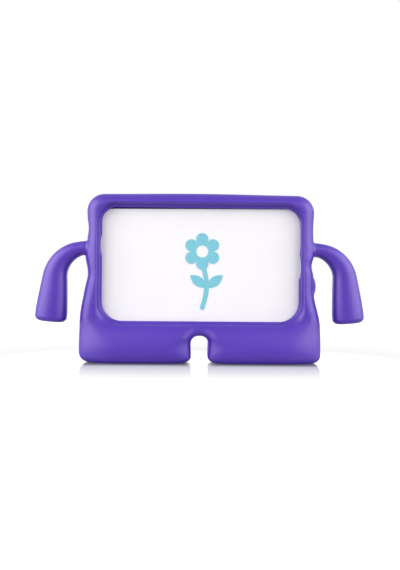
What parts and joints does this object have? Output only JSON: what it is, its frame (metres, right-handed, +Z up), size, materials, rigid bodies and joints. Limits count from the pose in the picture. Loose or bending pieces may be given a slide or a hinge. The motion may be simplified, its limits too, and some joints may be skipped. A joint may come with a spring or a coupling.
{
  "type": "tablet case",
  "caption": "Soft foam case for a small tablet: raised frame round the screen, two side arms to hold it by and two broad feet it stands on, with a printed filler card.",
  "frame": {"origin": "on the floor, under the middle of the feet", "axes": "+X to the right as the screen is seen from the front, +Y to the back, +Z up"},
  "size_m": [0.3024, 0.046, 0.1549],
  "materials": {
    "foam": "matte purple moulded foam with a soft sheen",
    "card": "smooth white card",
    "ink": "flat light blue print"
  },
  "bodies": {
    "root": {"case_body": "foam", "insert_card": "card", "card_print": "ink"}
  },
  "joints": []
}
